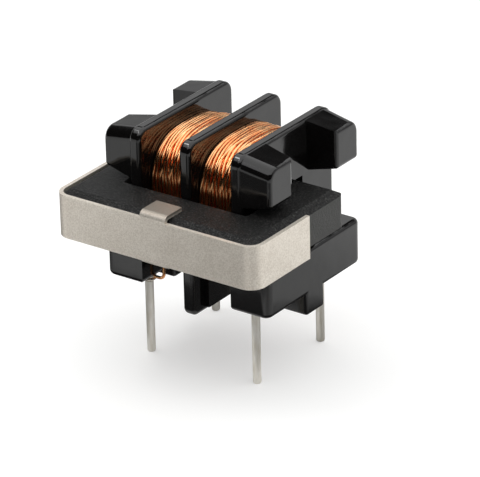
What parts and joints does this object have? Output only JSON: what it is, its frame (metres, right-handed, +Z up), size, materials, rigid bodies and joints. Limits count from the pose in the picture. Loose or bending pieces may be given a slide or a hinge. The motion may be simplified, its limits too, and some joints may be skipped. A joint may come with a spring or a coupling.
{
  "type": "common mode choke",
  "caption": "Through-hole common mode choke: plastic flanged bobbin with copper windings on one leg of a ferrite ring held by a steel clip.",
  "frame": {"origin": "middle of the four pins, in the seating plane under the feet", "axes": "+X along the winding axis, +Y from the clip towards the wound leg, +Z up from the board"},
  "size_m": [0.0174, 0.0153, 0.0179],
  "materials": {
    "bobbin_plastic": "glossy black moulding",
    "ferrite": "matt dark grey ground ferrite",
    "clip_steel": "satin stainless strip",
    "copper_wire": "enamelled copper wire, glossy",
    "pin_tin": "tinned wire, dull",
    "solder": "solder, bright and uneven"
  },
  "bodies": {
    "root": {"bobbin": "bobbin_plastic", "core_left": "ferrite", "core_right": "ferrite", "core_clip": "clip_steel", "winding_left": "copper_wire", "winding_right": "copper_wire", "pin_front_left": "pin_tin", "pin_front_right": "pin_tin", "pin_back_left": "pin_tin", "pin_back_right": "pin_tin", "lead_front_left": "copper_wire", "lead_front_right": "copper_wire", "lead_back_left": "copper_wire", "lead_back_right": "copper_wire", "solder_joint_front_left": "solder", "solder_joint_front_right": "solder", "solder_joint_back_left": "solder", "solder_joint_back_right": "solder"}
  },
  "joints": []
}
